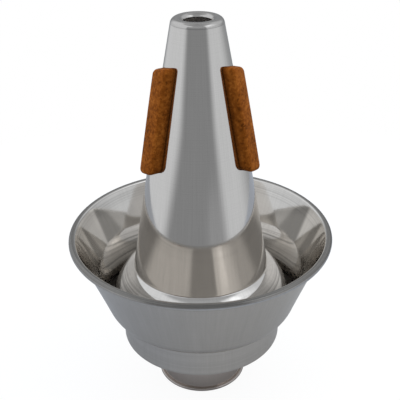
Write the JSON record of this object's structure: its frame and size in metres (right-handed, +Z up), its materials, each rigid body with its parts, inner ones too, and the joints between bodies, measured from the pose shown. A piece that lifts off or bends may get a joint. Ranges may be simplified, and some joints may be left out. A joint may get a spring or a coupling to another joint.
{
  "type": "wah-wah mute",
  "caption": "Spun metal wah-wah mute for a trumpet: a long cone with cork strips on a domed bulb, a sliding stem with a small bell, and a wide removable cup.",
  "frame": {"origin": "middle of the stem bell's mouth, on the surface the mute stands on", "axes": "+Z up along the mute's axis towards the tip, -Y towards the viewer of the picture, +X to the viewer's right"},
  "size_m": [0.12, 0.12, 0.1771],
  "materials": {
    "spun_aluminium": "polished, with fine turning lines",
    "cap_aluminium": "satin",
    "collar_aluminium": "satin",
    "tube_aluminium": "drawn tube",
    "bell_aluminium": "polished",
    "cup_aluminium": "polished, with fine turning lines",
    "sleeve_cork": "cork",
    "strip_cork": "sanded cork"
  },
  "bodies": {
    "mute_body": {"body_shell": "spun_aluminium", "end_cap": "cap_aluminium", "stem_collar": "collar_aluminium", "collar_cork": "sleeve_cork", "cork_strip_left": "strip_cork", "cork_strip_right": "strip_cork", "cork_strip_back": "strip_cork"},
    "stem": {"stem_tube": "tube_aluminium", "stem_bell": "bell_aluminium"},
    "cup": {"cup": "cup_aluminium"}
  },
  "joints": [
    {"name": "stem_slide", "type": "slide", "parent": "mute_body", "child": "stem", "axis": [0, 0, 1], "range_m": [-0.06, 0]},
    {"name": "cup_turn", "type": "hinge", "parent": "stem", "child": "cup", "pos_m": [0, 0, 0.0245], "axis": [0, 0, 1], "continuous": true}
  ]
}
